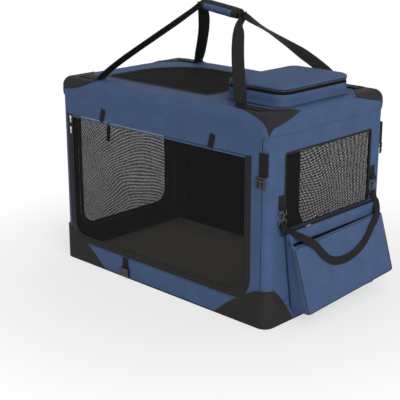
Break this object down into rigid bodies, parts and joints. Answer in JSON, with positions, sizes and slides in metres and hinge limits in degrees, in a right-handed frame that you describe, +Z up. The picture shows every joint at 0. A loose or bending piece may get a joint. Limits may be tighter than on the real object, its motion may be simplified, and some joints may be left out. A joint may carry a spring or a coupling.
{
  "type": "soft folding dog crate",
  "caption": "Soft-sided folding dog crate: fabric walls on two hinged steel U-frames, zipped mesh doors, mesh windows, roof pouch, carrying handle and clip-on end bag.",
  "frame": {"origin": "centre of the crate's flat underside, on the surface that it stands on", "axes": "+X runs along the long side to the end that carries the bag, -Y is the front with the long zipped door, +Z is up"},
  "size_m": [1.0023, 0.5806, 0.8864],
  "materials": {
    "navy_oxford": "matt woven Oxford cloth",
    "charcoal_patch": "matt coated cloth",
    "black_webbing": "ribbed webbing",
    "black_net": "fine mesh",
    "zip_tape": "zip tape",
    "painted_steel": "black powder coat",
    "nickel": "nickel plate",
    "black_plastic": "moulded, satin",
    "mat_fleece": "short fleece"
  },
  "bodies": {
    "base": {"base_frame": "painted_steel", "floor_panel": "navy_oxford", "base_skirt": "navy_oxford", "sleeping_mat": "mat_fleece", "hinge_bracket_left_front": "black_plastic", "hinge_bracket_left_back": "black_plastic", "hinge_bracket_right_front": "black_plastic", "hinge_bracket_right_back": "black_plastic", "hinge_pin_left_front": "nickel", "hinge_pin_left_back": "nickel", "hinge_pin_right_front": "nickel", "hinge_pin_right_back": "nickel", "bottom_patch_left_front": "charcoal_patch", "bottom_patch_left_back": "charcoal_patch", "bottom_patch_right_front": "charcoal_patch", "bottom_patch_right_back": "charcoal_patch", "buckle_socket_front": "black_plastic", "buckle_socket_back": "black_plastic"},
    "left_frame": {"left_frame_tube": "painted_steel", "left_end_panel": "navy_oxford"},
    "left_door": {"left_door_zip": "zip_tape", "left_door_net": "black_net", "left_door_pull": "nickel"},
    "right_frame": {"right_frame_tube": "painted_steel", "right_end_panel": "navy_oxford", "right_window_net": "black_net", "buckle_strap_front": "black_webbing", "buckle_strap_back": "black_webbing", "buckle_plug_front": "black_plastic", "buckle_plug_back": "black_plastic", "bag_tab_front": "black_webbing", "bag_tab_back": "black_webbing", "bag_ring_front": "nickel", "bag_ring_back": "nickel"},
    "bag": {"bag_shell": "navy_oxford", "bag_handle": "black_webbing", "snap_hook_front": "nickel", "snap_hook_back": "nickel"},
    "bag_pull": {"bag_zip_pull": "nickel"},
    "front_wall_body": {"front_wall": "navy_oxford", "tie_tab_left": "black_webbing", "tie_tab_right": "black_webbing"},
    "front_door": {"front_door_zip": "zip_tape", "front_door_net": "black_net", "front_door_pull_upper": "nickel", "front_door_pull_lower": "nickel"},
    "back_wall_body": {"back_wall": "navy_oxford", "back_window_net": "black_net"},
    "top": {"roof": "navy_oxford", "sunroof_net": "black_net", "top_patch_left_front": "charcoal_patch", "top_patch_left_back": "charcoal_patch", "top_patch_right_front": "charcoal_patch", "top_patch_right_back": "charcoal_patch", "handle_strap_front": "black_webbing", "handle_strap_back": "black_webbing", "handle_grip": "navy_oxford", "pouch_body": "navy_oxford"},
    "lid": {"pouch_lid": "navy_oxford", "pouch_pull": "nickel"}
  },
  "joints": [
    {"name": "left_frame_fold", "type": "hinge", "parent": "base", "child": "left_frame", "pos_m": [-0.4462, 0, 0.047], "axis": [0, 1, 0], "range_deg": [0, 90]},
    {"name": "right_frame_fold", "type": "hinge", "parent": "base", "child": "right_frame", "pos_m": [0.4462, 0, 0.075], "axis": [0, -1, 0], "range_deg": [0, 90]},
    {"name": "front_wall_fold", "type": "hinge", "parent": "base", "child": "front_wall_body", "pos_m": [0, -0.2785, 0.03], "axis": [-1, 0, 0], "range_deg": [0, 90], "deforming": ["front_wall", "tie_tab_left", "tie_tab_right"]},
    {"name": "back_wall_fold", "type": "hinge", "parent": "base", "child": "back_wall_body", "pos_m": [0, 0.2785, 0.038], "axis": [1, 0, 0], "range_deg": [0, 90], "deforming": ["back_wall", "back_window_net"]},
    {"name": "roof_drop", "type": "slide", "parent": "base", "child": "top", "axis": [0, 0, -1], "range_m": [0, 0.567], "deforming": ["roof", "sunroof_net", "top_patch_left_front", "top_patch_left_back", "top_patch_right_front", "top_patch_right_back", "pouch_body", "handle_strap_front", "handle_strap_back"]},
    {"name": "front_door_lift", "type": "hinge", "parent": "front_wall_body", "child": "front_door", "pos_m": [0, -0.2785, 0.512], "axis": [-1, 0, 0], "range_deg": [0, 110], "deforming": ["front_door_zip", "front_door_net"]},
    {"name": "left_door_lift", "type": "hinge", "parent": "left_frame", "child": "left_door", "pos_m": [-0.456, 0, 0.512], "axis": [0, 1, 0], "range_deg": [0, 110], "deforming": ["left_door_zip", "left_door_net"]},
    {"name": "pouch_lid_lift", "type": "hinge", "parent": "top", "child": "lid", "pos_m": [0, 0.159, 0.6776], "axis": [-1, 0, 0], "range_deg": [0, 100], "deforming": ["pouch_lid"]},
    {"name": "bag_swing", "type": "hinge", "parent": "right_frame", "child": "bag", "pos_m": [0.4643, 0, 0.342], "axis": [0, -1, 0], "range_deg": [0, 35]},
    {"name": "bag_zip_slide", "type": "slide", "parent": "bag", "child": "bag_pull", "axis": [0, 1, 0], "range_m": [0, 0.25]}
  ],
  "couplings": [
    {"joint": "front_wall_fold", "follows": "left_frame_fold", "ratio": 1},
    {"joint": "back_wall_fold", "follows": "left_frame_fold", "ratio": 1},
    {"joint": "roof_drop", "follows": "left_frame_fold", "m_per_rad": 0.36096}
  ]
}
